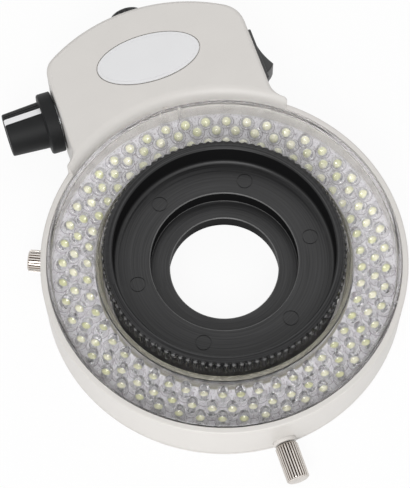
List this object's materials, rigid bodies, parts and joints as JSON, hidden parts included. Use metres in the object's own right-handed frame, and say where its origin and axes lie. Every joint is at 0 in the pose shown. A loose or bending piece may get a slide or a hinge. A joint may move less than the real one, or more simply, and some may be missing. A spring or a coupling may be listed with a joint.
{
  "type": "microscope ring light",
  "caption": "Round LED light for a stereo microscope with a clear cover, a side control box, a dimmer knob, a rocker switch, an adapter ring and thumb screws.",
  "frame": {"origin": "centre of the mounting bore on the plane that the back plate rests on", "axes": "+Z along the bore axis towards the lamps, +Y from the bore towards the control box, +X to the switch side"},
  "size_m": [0.0952, 0.1382, 0.0229],
  "materials": {
    "case_plastic": "fine moulded texture, off-white",
    "black_plastic": "satin black moulding",
    "clear_plastic": "clear, polished",
    "lamp_board": "pale board with clear lamps",
    "nickel": "nickel plated, knurled",
    "brass": "turned brass",
    "steel": "zinc plated steel",
    "silver_label": "bare brushed silver foil",
    "white_plastic": "white moulding",
    "circuit_board": "green solder mask",
    "copper_winding": "taped copper winding on a ferrite core",
    "blue_case": "moulded blue case",
    "red_wire": "red insulation",
    "black_wire": "black insulation"
  },
  "bodies": {
    "lamp": {"housing": "case_plastic", "back_cover": "case_plastic", "back_screw_1": "steel", "back_screw_2": "steel", "back_screw_3": "steel", "back_screw_4": "steel", "back_screw_5": "steel", "back_screw_6": "steel", "led_board": "lamp_board", "clear_cover": "clear_plastic", "screw_bush_front": "brass", "screw_bush_left": "brass", "screw_bush_right": "brass", "potentiometer_body": "steel", "potentiometer_washer": "steel", "potentiometer_nut": "nickel", "switch_frame": "black_plastic", "switch_terminal_1": "brass", "switch_terminal_2": "brass", "cord_gland": "black_plastic", "gland_nut": "black_plastic", "label_plate": "silver_label", "driver_board": "circuit_board", "transformer": "copper_winding", "mains_capacitor": "blue_case", "output_capacitor": "black_plastic", "board_connector": "white_plastic", "led_lead_red": "red_wire", "led_lead_black": "black_wire"},
    "dimmer": {"dimmer_knob": "black_plastic", "knob_pointer": "white_plastic", "potentiometer_shaft": "steel"},
    "rocker": {"switch_rocker": "black_plastic"},
    "screw_front": {"thumb_screw_front": "nickel", "screw_collar_front": "case_plastic"},
    "screw_left": {"thumb_screw_left": "nickel", "screw_collar_left": "case_plastic"},
    "screw_right": {"thumb_screw_right": "nickel", "screw_collar_right": "case_plastic"},
    "adapter": {"adapter_ring": "black_plastic"}
  },
  "joints": [
    {"name": "knob_turn", "type": "hinge", "parent": "lamp", "child": "dimmer", "pos_m": [-0.028, 0.05505, 0.01], "axis": [-1, 0, 0], "range_deg": [-150, 150]},
    {"name": "rocker_tilt", "type": "hinge", "parent": "lamp", "child": "rocker", "pos_m": [0.0265, 0.05415, 0.011], "axis": [0, 0, -1], "range_deg": [0, 34]},
    {"name": "front_screw_travel", "type": "slide", "parent": "lamp", "child": "screw_front", "axis": [0, -1, 0], "range_m": [-0.0064, 0.001]},
    {"name": "left_screw_travel", "type": "slide", "parent": "lamp", "child": "screw_left", "axis": [-0.9135, 0.4067, 0], "range_m": [0, 0.007]},
    {"name": "right_screw_travel", "type": "slide", "parent": "lamp", "child": "screw_right", "axis": [0.788, 0.6157, 0], "range_m": [0, 0.007]},
    {"name": "adapter_lift", "type": "slide", "parent": "lamp", "child": "adapter", "axis": [0, 0, 1], "range_m": [0, 0.025]}
  ]
}
